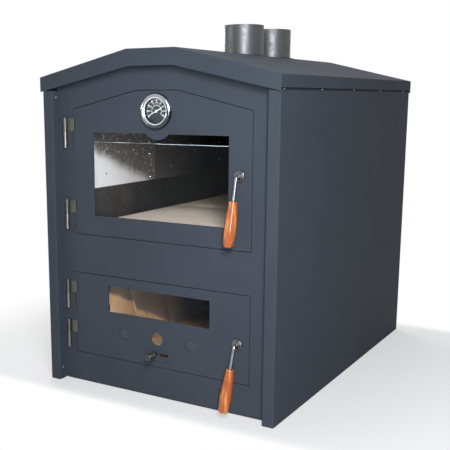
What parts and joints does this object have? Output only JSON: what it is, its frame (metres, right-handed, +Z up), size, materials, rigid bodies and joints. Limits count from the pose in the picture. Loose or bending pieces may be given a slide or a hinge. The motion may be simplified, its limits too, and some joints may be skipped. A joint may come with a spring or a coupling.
{
  "type": "wood-fired oven",
  "caption": "Box-shaped steel countertop oven with a gabled hood, round flue outlets, a glazed baking door with thermometer, a fire door with air slide, and wooden latch handles.",
  "frame": {"origin": "centre of the oven's underside, on the surface it stands on", "axes": "+X right seen from the front, -Y out of the front with the doors, +Z up"},
  "size_m": [0.6054, 0.8945, 0.858],
  "materials": {
    "casing_paint": "fine-texture anthracite powder coat",
    "hinge_paint": "satin dark grey paint",
    "screw_steel": "bright zinc-plated",
    "jacket_steel": "heat-darkened mild steel",
    "chamber_steel": "dull stainless, darkened by smoke",
    "liner_steel": "bright stainless sheet",
    "brick": "fired clay, matt",
    "hearth": "refractory tile, matt",
    "blanket": "ceramic fibre blanket",
    "flue_steel": "dark satin steel",
    "ring_rubber": "matt black",
    "hinge_steel": "nickel-plated",
    "pane": "clear heat-proof glass",
    "tape": "black fibre tape",
    "clip_steel": "folded spring steel",
    "rope": "knitted glass-fibre rope, graphite grey",
    "chrome": "polished chrome",
    "dial_black": "matt black with pale figures",
    "needle_white": "white enamel",
    "rod_steel": "bright turned steel",
    "grip_wood": "varnished orange-brown hardwood"
  },
  "bodies": {
    "casing": {"left_side_panel": "casing_paint", "right_side_panel": "casing_paint", "hood": "casing_paint", "hood_edges": "casing_paint", "front_plate": "casing_paint", "back_panel": "casing_paint", "base_plate": "casing_paint", "casing_screws": "screw_steel", "smoke_jacket": "jacket_steel", "mouth_frame": "jacket_steel", "baking_chamber": "chamber_steel", "chamber_support": "jacket_steel", "hearth_slabs": "hearth", "side_liners": "liner_steel", "liner_rivets": "liner_steel", "floor_bricks": "brick", "side_bricks": "brick", "back_bricks": "brick", "insulation": "blanket", "smoke_flue": "flue_steel", "vent_flue": "flue_steel", "flue_rings": "ring_rubber", "frame_hinge_halves": "hinge_paint", "hinge_pins": "hinge_steel"},
    "upper_door": {"upper_door_plate": "casing_paint", "upper_door_glass": "pane", "upper_glass_tape": "tape", "upper_glass_clips": "clip_steel", "upper_clip_screws": "screw_steel", "upper_seal_channel": "jacket_steel", "upper_rope_seal": "rope", "upper_hinge_leaves": "hinge_steel", "upper_latch_bush": "rod_steel", "gauge_case": "chrome", "gauge_bezel": "chrome", "gauge_dial": "dial_black", "gauge_lens": "pane", "gauge_probe": "rod_steel", "gauge_nut": "rod_steel"},
    "upper_latch": {"upper_latch_lever": "rod_steel", "upper_latch_grip": "grip_wood", "upper_latch_cam": "rod_steel", "upper_latch_nut": "screw_steel"},
    "needle": {"gauge_needle": "needle_white"},
    "lower_door": {"lower_door_plate": "casing_paint", "lower_door_glass": "pane", "lower_glass_tape": "tape", "lower_glass_clips": "clip_steel", "lower_clip_screws": "screw_steel", "lower_seal_channel": "jacket_steel", "lower_rope_seal": "rope", "lower_hinge_leaves": "hinge_steel", "lower_latch_bush": "rod_steel", "slide_guides": "jacket_steel"},
    "lower_latch": {"lower_latch_lever": "rod_steel", "lower_latch_grip": "grip_wood", "lower_latch_cam": "rod_steel", "lower_latch_nut": "screw_steel"},
    "slide": {"air_slide": "casing_paint", "slide_knob": "rod_steel"}
  },
  "joints": [
    {"name": "upper_door_hinge", "type": "hinge", "parent": "casing", "child": "upper_door", "pos_m": [-0.251, -0.4175, 0.5], "axis": [0, 0, -1], "range_deg": [0, 115]},
    {"name": "lower_door_hinge", "type": "hinge", "parent": "casing", "child": "lower_door", "pos_m": [-0.254, -0.4175, 0.17], "axis": [0, 0, -1], "range_deg": [0, 115]},
    {"name": "upper_latch_turn", "type": "hinge", "parent": "upper_door", "child": "upper_latch", "pos_m": [0.2025, -0.4125, 0.521], "axis": [0, 1, 0], "range_deg": [0, 84]},
    {"name": "lower_latch_turn", "type": "hinge", "parent": "lower_door", "child": "lower_latch", "pos_m": [0.2025, -0.4125, 0.1615], "axis": [0, 1, 0], "range_deg": [0, 84]},
    {"name": "air_slide_travel", "type": "slide", "parent": "lower_door", "child": "slide", "axis": [1, 0, 0], "range_m": [0, 0.032]},
    {"name": "needle_turn", "type": "hinge", "parent": "upper_door", "child": "needle", "pos_m": [0, -0.4155, 0.651], "axis": [0, 1, 0], "range_deg": [0, 240]}
  ]
}
